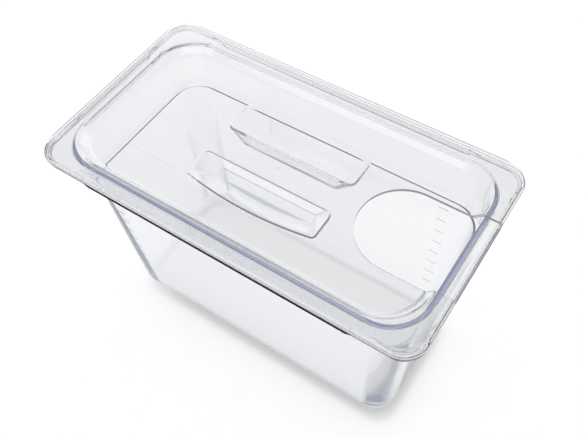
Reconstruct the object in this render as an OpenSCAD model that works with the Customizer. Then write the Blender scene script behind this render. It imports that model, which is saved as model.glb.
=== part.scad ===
// Clear food pan of the 1/3 size, 200 mm deep, with a notched lid that has a recessed grip.
// Millimetres. X runs along the long side, +X towards the spoon notch, +Z is up.
// The origin is the centre of the pan's flat underside.

/* [Rim] */
// Outside length of the rim
rim_length = 325; // [322:0.5:326]
// Outside width of the rim
rim_width = 176; // [173:0.5:177]
// Radius of the rim's outside corners
rim_corner = 17.5; // [16:0.5:17.5]
// Radius of the rim's rounded top edge
rim_edge = 6; // [5.5:0.5:7]
// Depth of the turned-down lip, from the top of the rim
lip_depth = 9.3; // [8:0.1:14]
// How much shorter the lip is around the corners
lip_relief = 2.5; // [0:0.5:4]
// Length of the full-depth lip along each long side
long_lip = 234; // [180:1:260]
// Length of the full-depth lip along each short side
short_lip = 84; // [40:1:110]

/* [Pan] */
// Height from the flat underside to the top of the rim
pan_height = 200; // [150:1:250]
// Wall thickness of the pan
wall = 2.8; // [2.4:0.1:3.2]
// Length of the mouth
mouth_length = 300; // [297:0.5:301]
// Width of the mouth
mouth_width = 150; // [148:0.5:151]
// Radius of the mouth's corners
mouth_corner = 30; // [29:0.5:32]
// Inside wall height of the upper band, from the mouth down to the shoulder
band_height = 42; // [30:1:50]
// Inward step of the stacking shoulder
shoulder_step = 2.8; // [2:0.2:4]
// Inward slope of each wall, from the shoulder down to the bottom
body_draft = 9.2; // [4:0.2:10]
// Radius of the rounded edge between walls and bottom
bottom_fillet = 13; // [8:1:14]

/* [Graduations] */
// Number of ticks in each column
tick_count = 8; // [4:1:8]
// Length of a tick
tick_length = 9; // [5:0.5:10]
// Thickness of a tick, and how far it stands out of the wall
tick_size = 0.6; // [0.4:0.1:1]
// Height between the half-litre ticks on the back wall
litre_pitch = 14.8; // [10:0.2:15]
// Distance from the top of the rim down to the first half-litre tick
litre_top = 58; // [55:1:70]
// Distance from the pan's middle to the half-litre column, towards +X
litre_column = 110; // [90:1:115]
// Height between the half-quart ticks on the front wall
quart_pitch = 13.7; // [10:0.1:15]
// Distance from the top of the rim down to the first half-quart tick
quart_top = 65; // [55:1:70]
// Distance from the pan's middle to the half-quart column, towards -X
quart_column = 115; // [90:1:115]

/* [Lid] */
// Outside length of the lid's skirt
lid_length = 327; // [327:0.5:330]
// Outside width of the lid's skirt
lid_width = 179; // [179:0.5:181]
// Radius of the lid's outside corners
lid_corner = 18.5; // [17:0.5:18.5]
// Thickness of the lid
lid_wall = 2.6; // [2.2:0.1:2.8]
// Height of the lid's outside edge
skirt_depth = 4.8; // [4.4:0.1:5.2]
// Depth of the dished centre below the flange
dish_depth = 7.1; // [6:0.1:9]
// Length of the dish's flat floor
dish_length = 284; // [280:0.5:285]
// Width of the dish's flat floor
dish_width = 136; // [132:0.5:136]
// Corner radius of the dish's flat floor
dish_corner = 29; // [28:0.5:30]
// Slope of the dish's wall, from the floor out to the flange
dish_slope = 6; // [5:0.5:6]

/* [Grip and notch] */
// Width of the grip between the two finger wells
grip_width = 28.4; // [24:0.2:34]
// Length of a finger well at the dish floor
well_length = 113.2; // [90:0.2:116]
// Width of a finger well at its ends
well_end_width = 25; // [20:0.5:26]
// Extra width of a finger well at its bowed middle
well_bow = 5.4; // [2:0.2:6]
// Depth of a finger well below the dish floor
well_depth = 12.9; // [8:0.1:16]
// Half-width of the spoon notch, and the radius of its round end
notch_radius = 35.5; // [25:0.5:36]
// Distance from the lid's centre to the centre of the notch's round end
notch_centre = 107; // [106:1:115]

/* [Moulding marks] */
// Length of the thin raised line on the dish's floor
line_length = 45; // [20:1:60]
// Distance from the lid's middle to the line's middle, towards -X
line_place = 90; // [80:1:100]
// Radius of the round gate mark in the middle of the grip
gate_radius = 1.5; // [1:0.1:3]

/* [Hidden] */
$fn = 96;
// Thickness of the slices that a finger well is stretched between
slice = 0.01;
// How far a cutting shape runs past the face it cuts
over = 1;
// Rim and lip
rim_cx = rim_length / 2 - rim_corner;
rim_cy = rim_width / 2 - rim_corner;
lip_bottom = pan_height - lip_depth;
// All of the pan's walls turn their corners about these centres, so a wall's corner radius
// shrinks by as much as the wall leans in.
mouth_cx = mouth_length / 2 - mouth_corner;
mouth_cy = mouth_width / 2 - mouth_corner;
mouth_edge = 3;
band_draft = 5;
shoulder_top = pan_height - band_height;
shoulder_fall = 3;
body_top = shoulder_top - shoulder_fall;
band_foot_r = mouth_corner - band_draft;
body_top_r = band_foot_r - shoulder_step;
body_foot_r = body_top_r - body_draft;
inner_fillet = bottom_fillet - wall;
// How much the body's walls lean in from upright, in degrees
body_lean = atan(body_draft / body_top);
// Lid heights
lid_gap = 0.1;
lid_top = pan_height + lid_gap + lid_wall;
skirt_bottom = lid_top - skirt_depth;
flange_under = lid_top - lid_wall;
dish_floor = lid_top - dish_depth;
dish_under = dish_floor - lid_wall;
well_floor = dish_floor - well_depth;
lid_cx = lid_length / 2 - lid_corner;
lid_cy = lid_width / 2 - lid_corner;
dish_cx = dish_length / 2 - dish_corner;
dish_cy = dish_width / 2 - dish_corner;
skirt_wall = 2.2;
// The lid's rounded shoulder: its run in from the skirt, outside and inside, and the height of
// the upright skirt below it
shoulder_run = 5.8;
shoulder_run_inside = 3.8;
skirt_upright = 0.6;
skirt_upright_inside = 0.4;
// How far the underside of the dish reaches past its floor, so that the sloped wall keeps the
// lid's thickness
wall_run = lid_wall * (norm([dish_slope, dish_depth]) - dish_slope) / dish_depth;
// Finger wells: how much each sloped side runs in from the dish floor to the well's floor
well_end_run = 14;
well_side_run = 15.5;
// How much the inner side beside the grip leans
well_grip_run = 0.6;
// Bow of a well's floor, as a share of the bow at the dish floor
well_floor_bow = 0.7;
// Height of the spoon notch's cutting shape, half of it above the lid's top
notch_cut = 40;
// Raised line on the dish floor: its place across the lid, width and height
line_y = -41;
line_width = 0.9;
mark_height = 0.3;
clear_polycarbonate = [0.86, 0.88, 0.92, 0.45];
clear_lid = [0.90, 0.91, 0.94, 0.45];

// Points on an arc about (r, z), from angle a0 to a1
function arc(r, z, radius, a0, a1, steps = 6) =
    [for (i = [0:steps]) let (a = a0 + (a1 - a0) * i / steps) [r + radius * cos(a), z + radius * sin(a)]];

// Points on a quarter of an ellipse about (r, z), from its side up to its top
function quarter_ellipse(r, z, run, rise, steps = 6) =
    [for (i = [0:steps]) [r + run * cos(90 * i / steps), z + rise * sin(90 * i / steps)]];

// Solid with a rounded-rectangle plan. cx and cy are the corner centres, and profile lists
// [corner radius, height] points from the bottom up.
module rounded_solid(cx, cy, profile) {
    bottom = profile[0][1];
    top = profile[len(profile) - 1][1];
    half = concat([[0, bottom]], profile, [[0, top]]);
    translate([-cx, -cy, bottom]) cube([2 * cx, 2 * cy, top - bottom]);
    for (mx = [0, 1]) mirror([mx, 0, 0]) {
        translate([cx, cy, 0]) rotate([90, 0, 0]) linear_extrude(2 * cy) polygon(half);
        for (my = [0, 1]) mirror([0, my, 0])
            translate([cx, cy, 0]) rotate_extrude(angle = 90) polygon(half);
    }
    for (my = [0, 1]) mirror([0, my, 0])
        translate([-cx, cy, 0]) rotate([90, 0, 90]) linear_extrude(2 * cx) polygon(half);
}

// Outside of the pan's body, from the flat underside up to the rim's flange
module body_outside() {
    profile = concat(
        arc(body_foot_r + wall - bottom_fillet, bottom_fillet, bottom_fillet, -90, -body_lean),
        [[body_top_r + wall, body_top - wall / 2],
         [band_foot_r + wall, shoulder_top - wall / 2],
         [mouth_corner + wall, pan_height - wall / 2]]);
    rounded_solid(mouth_cx, mouth_cy, profile);
}

// The food space: round-edged floor, sloped walls, stacking shoulder, upper band, rounded mouth
module food_space() {
    profile = concat(
        arc(body_foot_r - inner_fillet, wall + inner_fillet, inner_fillet, -90, -body_lean),
        [[body_top_r, body_top], [band_foot_r, shoulder_top]],
        arc(mouth_corner + mouth_edge, pan_height - mouth_edge, mouth_edge, 180, 90),
        [[mouth_corner + mouth_edge, pan_height + over]]);
    rounded_solid(mouth_cx, mouth_cy, profile);
}

// Rim flange with its turned-down lip, hollow underneath
module rim() {
    inside_edge = rim_edge - wall;
    outer = concat(
        [[rim_corner, lip_bottom]],
        arc(rim_corner - rim_edge, pan_height - rim_edge, rim_edge, 0, 90));
    inner = concat(
        [[rim_corner - wall, lip_bottom - over]],
        arc(rim_corner - rim_edge, pan_height - rim_edge, inside_edge, 0, 90));
    difference() {
        rounded_solid(rim_cx, rim_cy, outer);
        rounded_solid(rim_cx, rim_cy, inner);
        lip_reliefs();
    }
}

// The lip is cut shorter around each corner
module lip_reliefs() {
    for (mx = [0, 1]) mirror([mx, 0, 0]) for (my = [0, 1]) mirror([0, my, 0])
        translate([long_lip / 2, short_lip / 2, lip_bottom - over])
            cube([rim_length, rim_width, over + lip_relief]);
}

// One column of raised tick lines on the outside of the long wall at +Y. They follow the wall,
// which leans in by body_draft over its height.
module tick_column(column, top, pitch) {
    lean = body_draft / (body_top - bottom_fillet);
    for (i = [0:tick_count - 1]) {
        level = pan_height - top - i * pitch;
        face_y = mouth_cy + body_top_r + wall - (body_top - level) * lean;
        translate([column - tick_length / 2, face_y - tick_size, level])
            cube([tick_length, 2 * tick_size, tick_size]);
    }
}

// Half-litre ticks on one long wall, and half-quart ticks on the other, at the other end
module graduations() {
    tick_column(litre_column, litre_top, litre_pitch);
    rotate([0, 0, 180]) tick_column(quart_column, quart_top, quart_pitch);
}

module pan() {
    color(clear_polycarbonate) difference() {
        union() {
            rim();
            body_outside();
            graduations();
        }
        food_space();
    }
}

// Outline of a finger well. Its inner side is straight, and its outer side bows outwards.
function well_outline(half_length, inner_y, end_y, bow, steps = 12) = concat(
    [[-half_length, inner_y], [half_length, inner_y]],
    [for (i = [0:steps]) let (t = 1 - 2 * i / steps) [half_length * t, end_y + bow * (1 - t * t)]]);

// Tapered finger pocket between the dish floor at z = top and its own floor at z = bottom.
// grow makes the pocket larger all round, for the outside of its skin.
module well(top, bottom, grow) {
    half = well_length / 2 + grow;
    inner_y = grip_width / 2 - grow;
    end_y = grip_width / 2 + well_end_width + grow;
    hull() {
        translate([0, 0, top - slice]) linear_extrude(slice)
            polygon(well_outline(half, inner_y, end_y, well_bow));
        translate([0, 0, bottom]) linear_extrude(slice)
            polygon(well_outline(half - well_end_run, inner_y + well_grip_run,
                                 end_y - well_side_run, well_bow * well_floor_bow));
    }
}

module both_wells(top, bottom, grow) {
    for (my = [0, 1]) mirror([0, my, 0]) well(top, bottom, grow);
}

// Solid under the flange's top face, with the big rounded outer edge
module cap_outside() {
    foot = skirt_bottom + skirt_upright;
    profile = concat(
        [[lid_corner, skirt_bottom]],
        quarter_ellipse(lid_corner - shoulder_run, foot, shoulder_run, lid_top - foot));
    rounded_solid(lid_cx, lid_cy, profile);
}

// Room under the flange for the pan's rim
module cap_room() {
    side = lid_corner - skirt_wall;
    run = shoulder_run_inside;
    foot = skirt_bottom + skirt_upright_inside;
    profile = concat(
        [[side, skirt_bottom - over]],
        quarter_ellipse(side - run, foot, run, flange_under - foot));
    rounded_solid(lid_cx, lid_cy, profile);
}

// The dished centre as a solid, from its floor out to the flange
module dish(floor_z, run_out, top_z) {
    foot = dish_corner + run_out;
    rim_r = foot + dish_slope * (top_z - floor_z) / dish_depth;
    rounded_solid(dish_cx, dish_cy, [[foot, floor_z], [rim_r, top_z]]);
}

// Open slot with a round end, for a spoon's handle
module spoon_notch() {
    translate([notch_centre, 0, lid_top - notch_cut / 2]) {
        cylinder(r = notch_radius, h = notch_cut);
        translate([0, -notch_radius, 0]) cube([lid_length, 2 * notch_radius, notch_cut]);
    }
}

// A thin raised line near one corner of the dish floor, and the gate mark in the grip's middle
module moulding_marks() {
    foot = dish_floor - mark_height;
    translate([-line_place - line_length / 2, line_y - line_width / 2, foot])
        cube([line_length, line_width, 2 * mark_height]);
    translate([0, 0, foot]) cylinder(r = gate_radius, h = 2 * mark_height);
}

module lid() {
    color(clear_lid) difference() {
        union() {
            difference() {
                cap_outside();
                cap_room();
            }
            dish(dish_under, wall_run, flange_under + slice);
            both_wells(dish_floor, well_floor - lid_wall, lid_wall);
        }
        dish(dish_floor, 0, lid_top + over);
        both_wells(dish_floor + over, well_floor, 0);
        spoon_notch();
    }
    color(clear_lid) moulding_marks();
}

pan();
lid();
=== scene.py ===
"""Looks for a clear food pan with a notched lid: two smooth plastic mouldings on a pale floor."""

import math

import bmesh
import bpy
import numpy as np
from mathutils import Matrix, Vector
from mathutils.geometry import tessellate_polygon


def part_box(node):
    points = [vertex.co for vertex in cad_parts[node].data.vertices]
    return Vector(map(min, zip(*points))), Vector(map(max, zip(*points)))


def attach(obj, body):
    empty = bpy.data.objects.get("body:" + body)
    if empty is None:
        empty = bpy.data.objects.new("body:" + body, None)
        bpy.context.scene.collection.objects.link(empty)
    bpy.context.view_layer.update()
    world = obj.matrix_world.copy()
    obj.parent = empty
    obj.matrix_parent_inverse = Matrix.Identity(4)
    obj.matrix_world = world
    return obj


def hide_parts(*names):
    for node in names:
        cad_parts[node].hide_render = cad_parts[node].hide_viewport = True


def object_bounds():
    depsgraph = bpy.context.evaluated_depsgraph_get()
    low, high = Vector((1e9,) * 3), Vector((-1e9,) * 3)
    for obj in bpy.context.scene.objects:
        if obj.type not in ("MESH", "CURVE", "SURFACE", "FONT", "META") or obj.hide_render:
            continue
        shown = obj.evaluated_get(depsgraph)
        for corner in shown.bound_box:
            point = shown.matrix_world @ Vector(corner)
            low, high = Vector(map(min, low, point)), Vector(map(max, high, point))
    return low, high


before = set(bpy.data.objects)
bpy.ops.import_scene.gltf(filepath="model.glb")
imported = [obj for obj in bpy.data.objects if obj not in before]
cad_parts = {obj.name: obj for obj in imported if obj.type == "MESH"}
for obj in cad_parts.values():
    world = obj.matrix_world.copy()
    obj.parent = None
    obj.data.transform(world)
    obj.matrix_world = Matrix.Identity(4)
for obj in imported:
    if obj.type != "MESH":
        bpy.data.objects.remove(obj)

cad_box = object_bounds()
MM = 0.001

# ---------------------------------------------------------------- sizes in millimetres
pan_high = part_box("pan")[1] / MM
lid_low, lid_high = (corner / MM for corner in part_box("lid"))

RIM_X = pan_high.x
RIM_Y = pan_high.y
RIM_TOP = pan_high.z
WALL = 2.8
RIM_CORNER = 17.5
RIM_EDGE = 6.0
LIP_BOTTOM = RIM_TOP - 9.3
# The lip is LIP_RELIEF shorter around the corners, past these distances from the pan's middle, and
# it gets there over a ramp.
LIP_RELIEF = 2.5
LIP_RAMP = 5.0
RAMP_STEPS = 8
LONG_LIP = 117.0
SHORT_LIP = 42.0
RIM_CENTRES = (RIM_X - RIM_CORNER, RIM_Y - RIM_CORNER)

# The pan's walls turn their corners about one pair of centres, so only the corner radius changes
# from ring to ring.
MOUTH_CORNER = 30.0
MOUTH_X = RIM_X - 12.5
MOUTH_Y = RIM_Y - 13.0
BODY_CENTRES = (MOUTH_X - MOUTH_CORNER, MOUTH_Y - MOUTH_CORNER)
SHOULDER_TOP = RIM_TOP - 42.0
SHOULDER_FOOT = SHOULDER_TOP - 3.0
BAND_FOOT_R = 25.0
BODY_TOP_R = 22.2
BODY_FOOT_R = 13.0
# The food space's corner centres move in by this much at the bottom, and its radius grows as much.
INNER_CORNER_SHIFT = 9.0
# Corner radius of the rings that end the pan's flat underside and the flat floor inside it
FLAT_R = 1.0

LID_TOP = lid_high.z
LID_WALL = 2.6
LID_CORNER = 18.5
SKIRT_WALL = 2.2
SKIRT_BOTTOM = LID_TOP - 4.8
FLANGE_UNDER = LID_TOP - LID_WALL
LID_CENTRES = (lid_high.x - LID_CORNER, lid_high.y - LID_CORNER)
DISH_FLOOR = LID_TOP - 7.1
DISH_UNDER = DISH_FLOOR - LID_WALL
DISH_CORNER = 29.0
DISH_X = 142.0
DISH_Y = 68.0
DISH_CENTRES = (DISH_X - DISH_CORNER, DISH_Y - DISH_CORNER)
DISH_SLOPE = 6.0
# How far in from the dish's corner its flat middle starts, above and below
DISH_EDGE_ABOVE = 3.0
DISH_EDGE_BELOW = 4.0

GRIP_HALF = 14.2
WELL_HALF = 56.6
WELL_END_WIDTH = 25.0
WELL_BOW = 5.4
WELL_FLOOR = lid_low.z + LID_WALL
WELL_END_RUN = 14.0
WELL_SIDE_RUN = 15.5
WELL_GRIP_RUN = 0.6
WELL_FLOOR_BOW = 0.7 * WELL_BOW
# Rounding of a well's inner and outer corners, at the dish's floor and at its own floor
WELL_TOP_ROUNDS = (6.0, 2.5)
WELL_FOOT_ROUNDS = (2.0, 1.2)
# How far past a well's outline the dish's floor starts, and how far inside it the well's own flat
# floor starts, above and below
WELL_EDGE_ABOVE = (1.5, 1.2)
WELL_EDGE_BELOW = (2.2, 2.2)
# Fillets at a well's mouth and round its floor, above and below
WELL_FILLETS_ABOVE = (0.5, 0.8)
WELL_FILLETS_BELOW = (0.9, 1.2)

NOTCH_RADIUS = 35.5
NOTCH_CENTRE = 107.0
NOTCH_EDGE = 0.3
NOTCH_REACH = 90
NOTCH_BELOW = -20.0
NOTCH_ABOVE = 10.0
# How far a point on the notch's cut may be off its arc and off its straight sides, and how much
# of its normal may point up
ARC_SLACK = 0.06
SIDE_SLACK = 0.01
UPRIGHT_SLACK = 0.1

TICK_COUNT = 8
TICK_LENGTH = 9.0
TICK_SIZE = 0.6
LITRE_TICKS = {"column": 110.0, "top": 58.0, "pitch": 14.8, "side": 1}
QUART_TICKS = {"column": -115.0, "top": 65.0, "pitch": 13.7, "side": -1}

MARK_HEIGHT = 0.2
LINE_LENGTH = 45.0
LINE_WIDTH = 0.9
LINE_PLACE = (-90.0, -41.0)
GATE_RADIUS = 1.5
GATE_TOP_RADIUS = 0.8 * GATE_RADIUS
# Rounding of a raised line's edges, as a share of its height
BAR_ROUNDING = 0.3

# Steps in a corner, in a rounding, along a well's corner and bow, round the notch and the gate mark
CORNER_STEPS = 32
ROUND_STEPS = 8
WELL_CORNER_STEPS = 6
WELL_BOW_STEPS = 24
NOTCH_STEPS = 48
GATE_STEPS = 32

# Angles in degrees: an edge bent more than the first is shaded sharp, faces bent less than the
# second are merged, and an edge of the notch bent more than the third is rounded
SHARP_ANGLE = 32
MERGE_ANGLE = 0.4
NOTCH_ANGLE = 40


# ---------------------------------------------------------------- mesh helpers
def ring(centres, radius, z, long_stops=(), short_stops=()):
    """Rounded rectangle as points, anticlockwise, starting where the corner at +X, +Y begins.

    The stops are extra points on the straight sides, as places along X and along Y.
    """
    cx, cy = centres
    points = []
    for quarter, (sx, sy) in enumerate(((1, 1), (-1, 1), (-1, -1), (1, -1))):
        for step in range(CORNER_STEPS + 1):
            angle = math.radians(90 * (quarter + step / CORNER_STEPS))
            points.append((sx * cx + radius * math.cos(angle), sy * cy + radius * math.sin(angle), z))
        if quarter in (0, 2):
            points += [(sx * stop, sy * (cy + radius), z) for stop in long_stops]
        else:
            points += [(sx * (cx + radius), sy * stop, z) for stop in short_stops]
    return np.array(points)


def rounded(rings, tangents):
    """Rings, with each one between the first and the last replaced by a circular fillet.

    A fillet starts and ends as far from its ring as its own number in tangents says.
    """
    out = [rings[0]]
    for before, here, after, tangent in zip(rings, rings[1:], rings[2:], tangents):
        back = before - here
        ahead = after - here
        back /= np.linalg.norm(back, axis=1)[:, None]
        ahead /= np.linalg.norm(ahead, axis=1)[:, None]
        cosine = (back * ahead).sum(axis=1)[:, None]
        weight = np.sqrt((1 - cosine) / 2)
        start = here + back * tangent
        end = here + ahead * tangent
        for step in range(ROUND_STEPS + 1):
            s = step / ROUND_STEPS
            a, b, c = (1 - s) ** 2, 2 * s * (1 - s) * weight, s * s
            out.append((a * start + b * here + c * end) / (a + b + c))
    out.append(rings[-1])
    return out


class Shell:
    """Collects rings, strips of quads and flat faces, and turns them into one closed mesh object."""

    def __init__(self):
        self.points = []
        self.faces = []
        self.count = 0

    def add_ring(self, points):
        """Adds the points and returns their indices."""
        first = self.count
        self.points.append(np.asarray(points))
        self.count += len(points)
        return list(range(first, self.count))

    def add_loft(self, rings):
        """Quads between successive rings. Returns the first and last ring's indices."""
        indexed = [self.add_ring(points) for points in rings]
        for lower, upper in zip(indexed, indexed[1:]):
            for i in range(len(lower)):
                j = (i + 1) % len(lower)
                self.faces.append((lower[i], lower[j], upper[j], upper[i]))
        return indexed[0], indexed[-1]

    def add_flat(self, outline, holes=(), facing_up=True):
        """Flat face inside outline, less its holes, in triangles."""
        flat = np.concatenate(self.points)
        loops = [outline, *holes]
        index = [i for loop in loops for i in loop]
        loops_xy = [[Vector((*flat[i][:2], 0)) for i in loop] for loop in loops]
        for a, b, c in tessellate_polygon(loops_xy):
            tri = [index[a], index[b], index[c]]
            p, q, r = (flat[i][:2] for i in tri)
            turn = (q[0] - p[0]) * (r[1] - p[1]) - (q[1] - p[1]) * (r[0] - p[0])
            self.faces.append(tuple(tri) if (turn > 0) == facing_up else tuple(reversed(tri)))

    def build(self, name):
        """Object with everything collected, its faces all turned outwards."""
        mesh = bpy.data.meshes.new(name)
        mesh.from_pydata((np.concatenate(self.points) * MM).tolist(), [], self.faces)
        bm = bmesh.new()
        bm.from_mesh(mesh)
        bmesh.ops.remove_doubles(bm, verts=bm.verts, dist=1e-6)
        bmesh.ops.recalc_face_normals(bm, faces=bm.faces)
        bm.to_mesh(mesh)
        bm.free()
        piece = bpy.data.objects.new(name, mesh)
        bpy.context.scene.collection.objects.link(piece)
        return piece


def linked_object(name, bm):
    """Object in the scene with the mesh in bm, which is freed."""
    mesh = bpy.data.meshes.new(name)
    bm.to_mesh(mesh)
    bm.free()
    piece = bpy.data.objects.new(name, mesh)
    bpy.context.scene.collection.objects.link(piece)
    return piece


def bar(name, length, height, width):
    """Small rounded bar along X, centred on the origin. height is its size along Z."""
    bm = bmesh.new()
    bmesh.ops.create_cube(bm, size=1)
    bmesh.ops.scale(bm, vec=(length * MM, width * MM, height * MM), verts=bm.verts)
    bmesh.ops.bevel(bm, geom=bm.edges[:], offset=BAR_ROUNDING * height * MM, segments=2, affect="EDGES")
    return linked_object(name, bm)


def boolean(piece, tool, operation):
    """Joins tool to piece, or cuts it away, and removes tool."""
    modifier = piece.modifiers.new("cut", "BOOLEAN")
    modifier.operation = operation
    modifier.solver = "EXACT"
    modifier.object = tool
    bpy.context.view_layer.update()
    evaluated = piece.evaluated_get(bpy.context.evaluated_depsgraph_get())
    result = bpy.data.meshes.new_from_object(evaluated)
    piece.modifiers.clear()
    piece.data = result
    bpy.data.objects.remove(tool)


def finish_surface(piece):
    """Smooth shading that leaves flat faces flat."""
    piece.data.polygons.foreach_set("use_smooth", [True] * len(piece.data.polygons))
    piece.data.set_sharp_from_angle(angle=math.radians(SHARP_ANGLE))
    weighted = piece.modifiers.new("flat_faces_stay_flat", "WEIGHTED_NORMAL")
    weighted.keep_sharp = True
    weighted.weight = 100


# ---------------------------------------------------------------- pan
def lip_stops(full):
    """Places along a side where the lip changes depth, from one end to the other."""
    ramp = [full - LIP_RAMP * i / RAMP_STEPS for i in range(RAMP_STEPS + 1)]
    return ramp + [-stop for stop in reversed(ramp)]


def raise_lip(points):
    """Lifts a ring of the lip's lower edge near the corners, over a short smooth ramp."""
    lifted = points.copy()
    over_x = (np.abs(points[:, 0]) - LONG_LIP + LIP_RAMP) / LIP_RAMP
    over_y = (np.abs(points[:, 1]) - SHORT_LIP + LIP_RAMP) / LIP_RAMP
    share = np.clip(np.minimum(over_x, over_y), 0, 1)
    lifted[:, 2] += LIP_RELIEF * share * share * (3 - 2 * share)
    return lifted


def pan_ring(centres, radius, z):
    """Ring of the pan. Where its straight sides are shorter, the points on them close up."""
    long_share, short_share = (min(1, here / full) for here, full in zip(centres, BODY_CENTRES))
    return ring(
        centres,
        radius,
        z,
        [stop * long_share for stop in lip_stops(LONG_LIP)],
        [stop * short_share for stop in lip_stops(SHORT_LIP)],
    )


def make_pan():
    body, rim = BODY_CENTRES, RIM_CENTRES
    foot = tuple(centre - INNER_CORNER_SHIFT for centre in body)
    inner_lip = RIM_CORNER - WALL
    rings = [
        pan_ring(body, FLAT_R, 0),
        pan_ring(body, BODY_FOOT_R + WALL, 0),
        pan_ring(body, BODY_TOP_R + WALL, SHOULDER_FOOT - WALL / 2),
        pan_ring(body, BAND_FOOT_R + WALL, SHOULDER_TOP - WALL / 2),
        pan_ring(body, MOUTH_CORNER + WALL, RIM_TOP - WALL),
        pan_ring(rim, inner_lip, RIM_TOP - WALL),
        raise_lip(pan_ring(rim, inner_lip, LIP_BOTTOM)),
        raise_lip(pan_ring(rim, RIM_CORNER, LIP_BOTTOM)),
        pan_ring(rim, RIM_CORNER, RIM_TOP),
        pan_ring(body, MOUTH_CORNER, RIM_TOP),
        pan_ring(body, BAND_FOOT_R, SHOULDER_TOP),
        pan_ring(body, BODY_TOP_R, SHOULDER_FOOT),
        pan_ring(foot, BODY_FOOT_R + INNER_CORNER_SHIFT, WALL),
        pan_ring(foot, FLAT_R, WALL),
    ]
    # One fillet for each ring between the first and the last, in their order
    outside_fillets = [12.0, 0.6, 0.6, 2.5, 3.0]
    lip_fillets = [0.3, 0.3, RIM_EDGE]
    inside_fillets = [1.6, 0.4, 0.4, 9.5]
    shell = Shell()
    first, last = shell.add_loft(rounded(rings, outside_fillets + lip_fillets + inside_fillets))
    shell.add_flat(first, facing_up=False)
    shell.add_flat(last)
    pan = shell.build("pan_shell")
    for tick in tick_lines():
        boolean(pan, tick, "UNION")
    return pan


def tick_lines():
    """Raised graduation lines on the outside of the two long walls."""
    lean = (BODY_TOP_R - BODY_FOOT_R) / SHOULDER_FOOT
    for scale in (LITRE_TICKS, QUART_TICKS):
        for i in range(TICK_COUNT):
            level = RIM_TOP - scale["top"] - i * scale["pitch"]
            face = BODY_CENTRES[1] + BODY_TOP_R + WALL - (SHOULDER_FOOT - level) * lean
            tick = bar("tick", TICK_LENGTH, TICK_SIZE, 2 * TICK_SIZE)
            tick.location = Vector((scale["column"], scale["side"] * face, level)) * MM
            yield tick


# ---------------------------------------------------------------- lid
def skin_offset(run, fall):
    """How far a skin's underside stands outside its sloped upper face, measured level."""
    slope = run / fall
    return LID_WALL * (np.sqrt(1 + slope * slope) - slope)


def blend_corner(before, corner, after):
    """Rounded corner of a well between two points, as a short curve."""
    curve = []
    for step in range(WELL_CORNER_STEPS + 1):
        s = step / WELL_CORNER_STEPS
        curve.append((1 - s) ** 2 * before + 2 * s * (1 - s) * corner + s * s * after)
    return curve


def well_outline(half, inner_y, end_y, bow, rounds):
    """Finger well's outline, anticlockwise: straight beside the grip, bowed on its outer side."""

    def outer(x):
        return np.array([x, end_y + bow * (1 - (x / half) ** 2)])

    inner_round, outer_round = rounds
    left_in, right_in = np.array([-half, inner_y]), np.array([half, inner_y])
    right_out, left_out = np.array([half, end_y]), np.array([-half, end_y])
    along, up = np.array([1.0, 0.0]), np.array([0.0, 1.0])
    points = blend_corner(left_in + up * inner_round, left_in, left_in + along * inner_round)
    points += blend_corner(right_in - along * inner_round, right_in, right_in + up * inner_round)
    reach = half - outer_round
    points += blend_corner(right_out - up * outer_round, right_out, outer(reach))
    points += [outer(reach * (1 - 2 * i / WELL_BOW_STEPS)) for i in range(1, WELL_BOW_STEPS)]
    points += blend_corner(outer(-reach), left_out, left_out - up * outer_round)
    return np.array(points)


def grown(outline, distance):
    """Outline moved outwards by distance, which may differ from point to point."""
    edge = np.roll(outline, -1, axis=0) - outline
    length = np.linalg.norm(edge, axis=1)[:, None]
    normal = np.stack([edge[:, 1], -edge[:, 0]], axis=1) / np.maximum(length, 1e-9)
    mean = normal + np.roll(normal, 1, axis=0)
    mean /= np.linalg.norm(mean, axis=1)[:, None]
    return outline + mean * np.reshape(distance, (-1, 1))


def at_height(outline, z, side):
    """Outline as 3-D points. side is 1 or -1, for the well at +Y or its mirror image at -Y."""
    points = np.column_stack([outline[:, 0], outline[:, 1] * side, np.full(len(outline), z)])
    return points if side > 0 else points[::-1]


def add_wells(shell):
    """Both finger wells. Returns the loops they leave in the dish's floor, above and below."""
    top = well_outline(WELL_HALF, GRIP_HALF, GRIP_HALF + WELL_END_WIDTH, WELL_BOW, WELL_TOP_ROUNDS)
    foot = well_outline(
        WELL_HALF - WELL_END_RUN,
        GRIP_HALF + WELL_GRIP_RUN,
        GRIP_HALF + WELL_END_WIDTH - WELL_SIDE_RUN,
        WELL_FLOOR_BOW,
        WELL_FOOT_ROUNDS,
    )
    run = np.linalg.norm(top - foot, axis=1)
    skin = skin_offset(run, DISH_FLOOR - WELL_FLOOR)
    top_under, foot_under = grown(top, skin), grown(foot, skin)
    past_above, inside_above = WELL_EDGE_ABOVE
    past_below, inside_below = WELL_EDGE_BELOW
    upper_holes, lower_holes = [], []
    for side in (1, -1):
        upper = [
            at_height(grown(top, past_above), DISH_FLOOR, side),
            at_height(top, DISH_FLOOR, side),
            at_height(foot, WELL_FLOOR, side),
            at_height(grown(foot, -inside_above), WELL_FLOOR, side),
        ]
        lower = [
            at_height(grown(top_under, past_below), DISH_UNDER, side),
            at_height(top_under, DISH_UNDER, side),
            at_height(foot_under, WELL_FLOOR - LID_WALL, side),
            at_height(grown(foot_under, -inside_below), WELL_FLOOR - LID_WALL, side),
        ]
        first, last = shell.add_loft(rounded(upper, WELL_FILLETS_ABOVE))
        shell.add_flat(last)
        upper_holes.append(first)
        first, last = shell.add_loft(rounded(lower, WELL_FILLETS_BELOW))
        shell.add_flat(last, facing_up=False)
        lower_holes.append(first)
    return upper_holes, lower_holes


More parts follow.
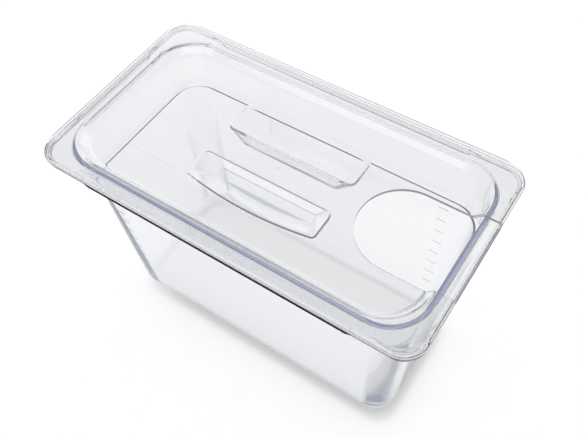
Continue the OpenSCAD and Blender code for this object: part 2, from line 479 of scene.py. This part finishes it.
def make_notch_cutter():
    """Prism with a round end that cuts the spoon notch out of the lid's +X end."""
    end = NOTCH_CENTRE + NOTCH_REACH
    outline = [(end, -NOTCH_RADIUS), (end, NOTCH_RADIUS)]
    for step in range(NOTCH_STEPS + 1):
        angle = math.radians(90 + 180 * step / NOTCH_STEPS)
        outline.append((NOTCH_CENTRE + NOTCH_RADIUS * math.cos(angle), NOTCH_RADIUS * math.sin(angle)))
    shell = Shell()
    loops = [np.array([(x, y, LID_TOP + z) for x, y in outline]) for z in (NOTCH_BELOW, NOTCH_ABOVE)]
    first, last = shell.add_loft(loops)
    shell.add_flat(first, facing_up=False)
    shell.add_flat(last)
    return shell.build("notch_cutter")


def on_notch(point):
    """Whether a point of the lid, in millimetres, lies on the notch's cut."""
    if point.x < NOTCH_CENTRE:
        return abs(math.hypot(point.x - NOTCH_CENTRE, point.y) - NOTCH_RADIUS) < ARC_SLACK
    return abs(abs(point.y) - NOTCH_RADIUS) < SIDE_SLACK


def soften_notch(lid):
    """Rounds the sharp edges that the cut has left."""
    bm = bmesh.new()
    bm.from_mesh(lid.data)
    bmesh.ops.dissolve_limit(
        bm, angle_limit=math.radians(MERGE_ANGLE), verts=bm.verts, edges=bm.edges
    )
    upright = [face for face in bm.faces if abs(face.normal.z) < UPRIGHT_SLACK]
    cut = {face for face in upright if on_notch(face.calc_center_median() / MM)}
    edges = [
        edge
        for edge in bm.edges
        if len(edge.link_faces) == 2
        and sum(face in cut for face in edge.link_faces) == 1
        and edge.calc_face_angle() > math.radians(NOTCH_ANGLE)
    ]
    bmesh.ops.bevel(
        bm,
        geom=edges,
        offset=NOTCH_EDGE * MM,
        segments=3,
        profile=0.5,
        affect="EDGES",
        clamp_overlap=True,
    )
    bm.to_mesh(lid.data)
    bm.free()


def moulding_marks():
    """A thin raised line near one corner of the dish floor, and the gate mark in the grip's middle."""
    line = bar("raised_line", LINE_LENGTH, 2 * MARK_HEIGHT, LINE_WIDTH)
    line.location = Vector((*LINE_PLACE, DISH_FLOOR)) * MM
    yield line
    bm = bmesh.new()
    bmesh.ops.create_cone(
        bm,
        cap_ends=True,
        segments=GATE_STEPS,
        radius1=GATE_RADIUS * MM,
        radius2=GATE_TOP_RADIUS * MM,
        depth=2 * MARK_HEIGHT * MM,
    )
    gate = linked_object("gate_mark", bm)
    gate.location.z = DISH_FLOOR * MM
    yield gate


def make_lid():
    dish, skirt = DISH_CENTRES, LID_CENTRES
    skin = skin_offset(DISH_SLOPE, LID_TOP - DISH_FLOOR)
    under_r = DISH_CORNER + skin
    slope = DISH_SLOPE / (LID_TOP - DISH_FLOOR)
    room_r = LID_CORNER - SKIRT_WALL
    rings = [
        ring(dish, DISH_CORNER - DISH_EDGE_ABOVE, DISH_FLOOR),
        ring(dish, DISH_CORNER, DISH_FLOOR),
        ring(dish, DISH_CORNER + DISH_SLOPE, LID_TOP),
        ring(skirt, LID_CORNER, LID_TOP),
        ring(skirt, LID_CORNER, SKIRT_BOTTOM),
        ring(skirt, room_r, SKIRT_BOTTOM),
        ring(skirt, room_r, FLANGE_UNDER),
        ring(dish, under_r + slope * (FLANGE_UNDER - DISH_UNDER), FLANGE_UNDER),
        ring(dish, under_r, DISH_UNDER),
        ring(dish, under_r - DISH_EDGE_BELOW, DISH_UNDER),
    ]
    # One fillet for each ring between the first and the last, in their order
    top_fillets = [2.0, 2.0, 3.9]
    skirt_fillets = [0.7, 0.7]
    underside_fillets = [1.4, 1.6, 2.8]
    shell = Shell()
    first, last = shell.add_loft(rounded(rings, top_fillets + skirt_fillets + underside_fillets))
    upper_holes, lower_holes = add_wells(shell)
    shell.add_flat(first, upper_holes)
    shell.add_flat(last, lower_holes, facing_up=False)
    lid = shell.build("lid_shell")
    boolean(lid, make_notch_cutter(), "DIFFERENCE")
    soften_notch(lid)
    for mark in moulding_marks():
        boolean(lid, mark, "UNION")
    return lid


# ---------------------------------------------------------------- materials
REFRACTION = 1.586
# Wear: how fine its pattern is, how detailed, and the most roughness it gives
WEAR_SCALE = 60.0
WEAR_DETAIL = 6.0
GREATEST_ROUGHNESS = 0.01
# What a metre of the plastic takes out of red, green and blue, and the colour of the glow painted into
# it in place of light scattered inside
PAN_ABSORPTION = (26.0, 25.4, 22.5)
PAN_PAINTED_GLOW = (0.26, 0.30, 0.45)
LID_ABSORPTION = (20.0, 19.7, 18.5)
LID_PAINTED_GLOW = (0.60, 0.62, 0.70)

# Share of the light that passes a surface on its way down to the floor. The pan's rounded foot, up
# to FOOT_TOP millimetres and fully below FOOT_FULL, bends more of it aside, so only FOOT_PASSES
# gets by there. The side of the foot that faces the key light has just LIT_FOOT_SHARE of that.
SHEET_PASSES = 0.995
FOOT_PASSES = 0.64
FOOT_TOP = 28.0
FOOT_FULL = 14.0
LIT_FOOT_SHARE = 0.3
# A surface counts as upright as the size of its normal's Z falls between these.
UPRIGHT_NORMALS = (0.97, 0.8)
# The key light's side of the pan is where Y exceeds KEY_SLANT times X. The change from one side
# to the other runs between these amounts, in metres.
KEY_SLANT = 0.4
KEY_SIDE_EDGE = (0.0, -0.03)

# The painted shade line along the lip's lower edge, a matt dark colour put where the clear lip shows a
# dark
# internal reflection: its height, the share of it below which it is solid, its colour, and the sines of
# the downward angles of view between which it comes up
LIP_LINE = 3.6
LIP_LINE_SOLID = 0.9
PAINTED_SHADE_COLOUR = (0.006, 0.006, 0.01, 1)
LIP_LINE_SEEN_FROM = (0.3, 0.7)


class NodeBoard:
    """Adds nodes to an emptied tree. An input is given as a value or as another node's output."""

    def __init__(self, tree):
        self.tree = tree
        self.tree.nodes.clear()

    def add(self, kind, inputs=(), **settings):
        node = self.tree.nodes.new("ShaderNode" + kind)
        for key, value in settings.items():
            setattr(node, key, value)
        for key, value in dict(inputs).items():
            if isinstance(value, bpy.types.NodeSocket):
                self.tree.links.new(value, node.inputs[key])
            else:
                node.inputs[key].default_value = value
        return node

    def parts(self, vector):
        """Outputs X, Y and Z of a vector."""
        return self.add("SeparateXYZ", {0: vector}).outputs

    def math(self, operation, first, second=0.0):
        return self.add("Math", {0: first, 1: second}, operation=operation).outputs[0]

    def blend(self, share, first, second):
        """Number that goes from first to second as share goes from 0 to 1."""
        return self.add("MapRange", {"Value": share, "To Min": first, "To Max": second}).outputs[0]

    def mix_colour(self, share, first, second):
        """Colour that goes from first to second as share goes from 0 to 1."""
        # A Mix node has a set of sockets for each kind of data. Its colours are inputs 6 and 7
        # and output 2.
        return self.add("Mix", {"Factor": share, 6: first, 7: second}, data_type="RGBA").outputs[2]

    def step(self, value, low, high):
        """Number that rises smoothly from 0 to 1 as value goes from low to high."""
        inputs = {"Value": value, "From Min": low, "From Max": high}
        return self.add("MapRange", inputs, interpolation_type="SMOOTHSTEP").outputs[0]


def painted_lip_shade(board):
    """Share of the painted shade line along the lip's lower edge, a dark colour in place of a dark
    internal reflection. It shows to a camera that looks from above.
    """
    place = board.parts(board.add("TexCoord").outputs["Object"])
    over_x = board.math("SUBTRACT", board.math("ABSOLUTE", place["X"]), (RIM_X - LIP_LINE) * MM)
    over_y = board.math("SUBTRACT", board.math("ABSOLUTE", place["Y"]), (RIM_Y - LIP_LINE) * MM)
    outside = board.math("GREATER_THAN", board.math("MAXIMUM", over_x, over_y), 0.0)
    line_top = (LIP_BOTTOM + LIP_LINE) * MM
    below = board.step(place["Z"], line_top, (LIP_BOTTOM + LIP_LINE_SOLID * LIP_LINE) * MM)
    to_viewer = board.parts(board.add("NewGeometry").outputs["Incoming"])["Z"]
    from_above = board.step(to_viewer, *LIP_LINE_SEEN_FROM)
    looked_at = board.math("MULTIPLY", board.add("LightPath").outputs["Is Camera Ray"], from_above)
    return board.math("MULTIPLY", board.math("MULTIPLY", outside, below), looked_at)


def clear_plastic(name, absorption, painted_glow_colour, edge=None):
    """Polished clear polycarbonate. edge, if given, marks out a painted shade line on it.

    A ray that stays caught in it takes on a painted glow, an emission that stands in for light scattered
    inside.
    Light on its way to the floor goes straight through with a small loss, so the floor underneath
    is lit without noise.
    """
    material = bpy.data.materials.new(name)
    material.use_nodes = True
    board = NodeBoard(material.node_tree)
    own_place = board.add("TexCoord").outputs["Object"]
    pattern = {"Vector": own_place, "Scale": WEAR_SCALE, "Detail": WEAR_DETAIL}
    wear = board.add("TexNoise", pattern)
    rough = board.blend(wear.outputs["Fac"], 0.0, GREATEST_ROUGHNESS)
    surface = board.add(
        "BsdfPrincipled",
        {
            "Base Color": (1, 1, 1, 1),
            "Transmission Weight": 1.0,
            "IOR": REFRACTION,
            "Roughness": rough,
        },
    )
    geometry = board.add("NewGeometry")
    place = board.parts(geometry.outputs["Position"])
    facing_up = board.parts(geometry.outputs["Normal"])["Z"]
    upright = board.step(board.math("ABSOLUTE", facing_up), *UPRIGHT_NORMALS)
    low = board.step(place["Z"], FOOT_TOP * MM, FOOT_FULL * MM)
    at_foot = board.math("MULTIPLY", upright, low)
    towards_key = board.math("SUBTRACT", place["Y"], board.math("MULTIPLY", place["X"], KEY_SLANT))
    shaded = board.blend(board.step(towards_key, *KEY_SIDE_EDGE), LIT_FOOT_SHARE, 1.0)
    passed = board.blend(board.math("MULTIPLY", at_foot, shaded), SHEET_PASSES, FOOT_PASSES)
    straight = board.add("BsdfTransparent", {"Color": passed})
    path = board.add("LightPath")
    to_floor = board.math("MAXIMUM", path.outputs["Is Shadow Ray"], path.outputs["Is Diffuse Ray"])
    shown = surface.outputs[0]
    # Painted shade: where edge says, a matt dark diffuse colour replaces the clear plastic, in place of
    # a dark internal reflection.
    if edge:
        dark = board.add("BsdfDiffuse", {"Color": PAINTED_SHADE_COLOUR})
        shown = board.add("MixShader", {0: edge(board), 1: shown, 2: dark.outputs[0]}).outputs[0]
    mix = board.add("MixShader", {0: to_floor, 1: shown, 2: straight.outputs[0]})
    # Absorption is density times what the tint lacks of white, so this keeps the tint above black.
    density = 2 * max(absorption)
    tint = [1 - share / density for share in absorption]
    seen = board.math("SUBTRACT", 1.0, to_floor)
    depth = board.math("MULTIPLY", seen, density)
    soaked_up = board.add("VolumeAbsorption", {"Color": (*tint, 1), "Density": depth})
    # Painted glow: the plastic's inside emits light, stronger in the colours it absorbs more, in place
    # of light scattered inside it.
    scattered = [share * glow for share, glow in zip(absorption, painted_glow_colour)]
    painted_glow = board.add("Emission", {"Color": (*scattered, 1), "Strength": seen})
    body = board.add("AddShader", {0: soaked_up.outputs[0], 1: painted_glow.outputs[0]})
    board.add("OutputMaterial", {"Surface": mix.outputs[0], "Volume": body.outputs[0]})
    return material


# The floor's grain: how fine it is, and the brightness it runs between
GRAIN_SCALE = 300.0
FLOOR_WHITES = (0.89, 0.91)


def floor_finish():
    """Matt white studio floor with a very faint grain."""
    material = bpy.data.materials.new("studio_floor")
    material.use_nodes = True
    board = NodeBoard(material.node_tree)
    grain = board.add("TexNoise", {"Scale": GRAIN_SCALE})
    white = board.blend(grain.outputs["Fac"], *FLOOR_WHITES)
    surface = board.add("BsdfDiffuse", {"Color": white, "Roughness": 0.5})
    board.add("OutputMaterial", {"Surface": surface.outputs[0]})
    return material


# ---------------------------------------------------------------- scene
# The floor, in metres: its radius, and the hair's breadth between it and the pan's underside
FLOOR_RADIUS = 3.0
FLOOR_STEPS = 96
FLOOR_GAP = 0.0004


def make_floor():
    """Round floor just under the pan."""
    bm = bmesh.new()
    bmesh.ops.create_circle(bm, cap_ends=True, segments=FLOOR_STEPS, radius=FLOOR_RADIUS)
    floor = linked_object("floor", bm)
    floor.location.z = cad_box[0].z - FLOOR_GAP
    floor.data.materials.append(floor_finish())


# Direction of the backdrop's middle, in degrees from +Y, and how bright the surroundings are
BACKDROP_FACING = -10.0
BACKDROP_GLOW = 0.9
CEILING_GLOW = 0.22
ROOM_COLOUR = (0.015, 0.018, 0.03, 1)
TENT_GLOW = 0.645
# Soft edges of the backdrop and of the card behind the camera: the share of a direction that
# points sideways, ahead or up, where each edge starts and where it ends
CARD_SIDES = (0.7, 0.5)
BACKDROP_EDGE = (0.15, 0.4)
CEILING_EDGE = (0.6, 0.75)
REAR_CARD_EDGE = (-0.3, -0.5)
REAR_CARD_TOP = (0.75, 0.65)
UP = (0, 0, 1)


def grey(glow):
    return (glow, glow, glow, 1)


def make_world():
    """What the plastic mirrors and bends: two bright cards in a dark room.

    The backdrop stands ahead of the camera and turns dim overhead. The other card stands behind
    the camera. The camera itself sees plain white. The floor is lit as if a white tent stood over
    it, which keeps it evenly white.
    """
    world = bpy.data.worlds.new("studio")
    bpy.context.scene.world = world
    world.use_nodes = True
    board = NodeBoard(world.node_tree)
    direction = board.add("TexCoord").outputs["Generated"]
    facing = math.radians(BACKDROP_FACING)
    ahead = (math.sin(facing), math.cos(facing), 0)
    left = (-math.cos(facing), math.sin(facing), 0)

    def along(axis):
        return board.add("VectorMath", {0: direction, 1: axis}, operation="DOT_PRODUCT").outputs["Value"]

    sideways = board.math("ABSOLUTE", along(left))
    in_width = board.step(sideways, *CARD_SIDES)
    in_front = board.step(along(ahead), *BACKDROP_EDGE)
    backdrop = board.math("MULTIPLY", in_width, in_front)
    high = board.step(along(UP), *CEILING_EDGE)
    white = board.blend(high, BACKDROP_GLOW, CEILING_GLOW)
    glow = board.mix_colour(backdrop, ROOM_COLOUR, white)
    behind = board.step(along(ahead), *REAR_CARD_EDGE)
    low = board.step(along(UP), *REAR_CARD_TOP)
    rear_card = board.math("MULTIPLY", board.math("MULTIPLY", in_width, behind), low)
    glow = board.mix_colour(rear_card, glow, grey(BACKDROP_GLOW))
    path = board.add("LightPath")
    glow = board.mix_colour(path.outputs["Is Diffuse Ray"], glow, grey(TENT_GLOW))
    glow = board.mix_colour(path.outputs["Is Camera Ray"], glow, grey(1))
    board.add("OutputWorld", {"Surface": board.add("Background", {"Color": glow}).outputs[0]})


# The key light, in metres and watts. It points at the pan's middle.
KEY_PLACE = (-0.8, 0.7, 3.9)
KEY_AIM = Vector((0, 0, 0.1))
KEY_SIZE = 1.5
KEY_POWER = 90


def make_key_light():
    """Wide round light high up behind the pan's left, which the plastic doesn't mirror."""
    data = bpy.data.lights.new("key", "AREA")
    data.shape = "DISK"
    data.size = KEY_SIZE
    data.energy = KEY_POWER
    light = bpy.data.objects.new("key", data)
    bpy.context.scene.collection.objects.link(light)
    light.location = KEY_PLACE
    light.rotation_euler = (KEY_AIM - light.location).to_track_quat("-Z", "Y").to_euler()
    light.visible_glossy = False
    light.visible_transmission = False


# Camera, measured from the middle of the lid's top. Angles are in degrees: the direction it looks in
# seen from above, how far it looks down, and how far it is turned about its own line of sight.
CAMERA_PLACE = Vector((215.9, -265.4, 412.9))
CAMERA_AZIMUTH = -36.08
CAMERA_DOWN = 55.18
CAMERA_ROLL = -3.49
CAMERA_LENS = 44.57
CAMERA_SHIFT = (-0.0223, 0.0006)


def make_camera():
    data = bpy.data.cameras.new("camera")
    data.lens = CAMERA_LENS
    data.shift_x, data.shift_y = CAMERA_SHIFT
    camera = bpy.data.objects.new("camera", data)
    bpy.context.scene.collection.objects.link(camera)
    azimuth, down = math.radians(CAMERA_AZIMUTH), math.radians(CAMERA_DOWN)
    forward = Vector(
        (math.sin(azimuth) * math.cos(down), math.cos(azimuth) * math.cos(down), -math.sin(down))
    )
    level = forward.to_track_quat("-Z", "Y").to_matrix().to_4x4()
    place = (CAMERA_PLACE + Vector((0, 0, LID_TOP))) * MM
    roll = Matrix.Rotation(math.radians(CAMERA_ROLL), 4, "Z")
    camera.matrix_world = Matrix.Translation(place) @ level @ roll
    bpy.context.scene.camera = camera


def show(piece, body, node, material):
    """Gives the piece its material, lets it ride on its body and stand for its CAD node."""
    piece.data.materials.clear()
    piece.data.materials.append(material)
    finish_surface(piece)
    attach(piece, body)
    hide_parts(node)


pan_plastic = clear_plastic("pan_polycarbonate", PAN_ABSORPTION, PAN_PAINTED_GLOW, painted_lip_shade)
lid_plastic = clear_plastic("lid_polycarbonate", LID_ABSORPTION, LID_PAINTED_GLOW)
show(make_pan(), "pan", "pan", pan_plastic)
show(make_lid(), "lid", "lid", lid_plastic)
make_floor()
make_world()
make_key_light()
make_camera()

# A ray may cross many sheets of plastic, or run a long way inside one.
MOST_BOUNCES = 64
MOST_SHEETS = 32
scene = bpy.context.scene
scene.view_settings.view_transform = "Standard"
scene.cycles.max_bounces = MOST_BOUNCES
scene.cycles.transmission_bounces = MOST_BOUNCES
scene.cycles.transparent_max_bounces = MOST_SHEETS
